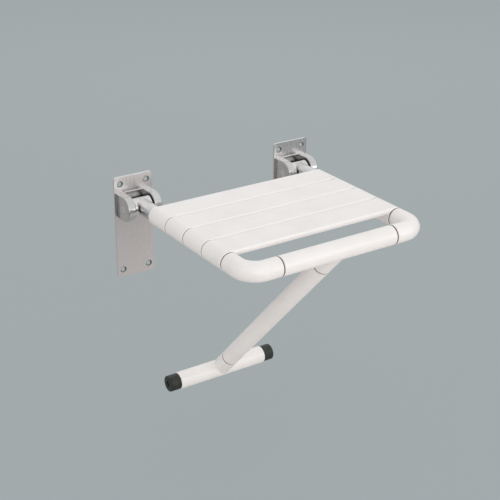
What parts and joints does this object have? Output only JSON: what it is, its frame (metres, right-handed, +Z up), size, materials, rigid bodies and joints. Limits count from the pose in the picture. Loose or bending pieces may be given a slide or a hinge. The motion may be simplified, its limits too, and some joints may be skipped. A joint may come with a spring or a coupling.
{
  "type": "fold-up bath seat",
  "caption": "Wall-hung fold-up bath seat: slatted white seat on steel hinge brackets, with a folding strut to the wall.",
  "frame": {"origin": "centre of the eight wall fixing holes, on the wall plane", "axes": "+X right along the wall as seen from the room, +Y into the wall, +Z up; the seat stands out towards -Y"},
  "size_m": [0.43, 0.4025, 0.469],
  "materials": {
    "nylon": "satin white nylon covering",
    "plate_steel": "upright brushed stainless steel",
    "cast_steel": "satin cast stainless steel",
    "pin_steel": "turned stainless steel",
    "core_tube": "drawn steel tube",
    "core_casting": "cast",
    "bush_plastic": "plain bearing plastic",
    "seam_plastic": "matte brown-grey",
    "cap_rubber": "black, lightly worn"
  },
  "bodies": {
    "root": {"wall_plate_left": "plate_steel", "hinge_housing_left": "cast_steel", "hinge_pin_left": "pin_steel", "hinge_pin_screw_left": "pin_steel", "housing_screws_left": "pin_steel", "wall_plate_right": "plate_steel", "hinge_housing_right": "cast_steel", "hinge_pin_right": "pin_steel", "hinge_pin_screw_right": "pin_steel", "housing_screws_right": "pin_steel"},
    "seat": {"hinge_lug_left": "cast_steel", "lug_pin_left": "pin_steel", "corner_pins_left": "pin_steel", "hinge_bushes_left": "bush_plastic", "arm_tube_left": "core_tube", "corner_core_left": "core_casting", "elbow_left": "nylon", "arm_seam_ring_left": "seam_plastic", "front_seam_ring_left": "seam_plastic", "hinge_lug_right": "cast_steel", "lug_pin_right": "pin_steel", "corner_pins_right": "pin_steel", "hinge_bushes_right": "bush_plastic", "arm_tube_right": "core_tube", "corner_core_right": "core_casting", "elbow_right": "nylon", "arm_seam_ring_right": "seam_plastic", "front_seam_ring_right": "seam_plastic", "slat_1": "nylon", "slat_2": "nylon", "slat_3": "nylon", "slat_4": "nylon", "rail_tube": "core_tube", "leg_stop_pins": "pin_steel"},
    "leg": {"foot_cap_screw_left": "pin_steel", "foot_cap_left": "cap_rubber", "foot_cap_screw_right": "pin_steel", "foot_cap_right": "cap_rubber", "front_tee": "nylon", "leg_sleeve": "nylon", "foot_tee": "nylon", "leg_tube": "core_tube", "foot_tube": "core_tube", "foot_inserts": "pin_steel", "leg_seam_ring_upper": "seam_plastic", "leg_seam_ring_lower": "seam_plastic"}
  },
  "joints": [
    {"name": "seat_fold", "type": "hinge", "parent": "root", "child": "seat", "pos_m": [0, -0.027, 0.0455], "axis": [-1, 0, 0], "range_deg": [0, 90]},
    {"name": "leg_swing", "type": "hinge", "parent": "seat", "child": "leg", "pos_m": [0, -0.385, 0.0485], "axis": [1, 0, 0], "range_deg": [0, 35]}
  ]
}
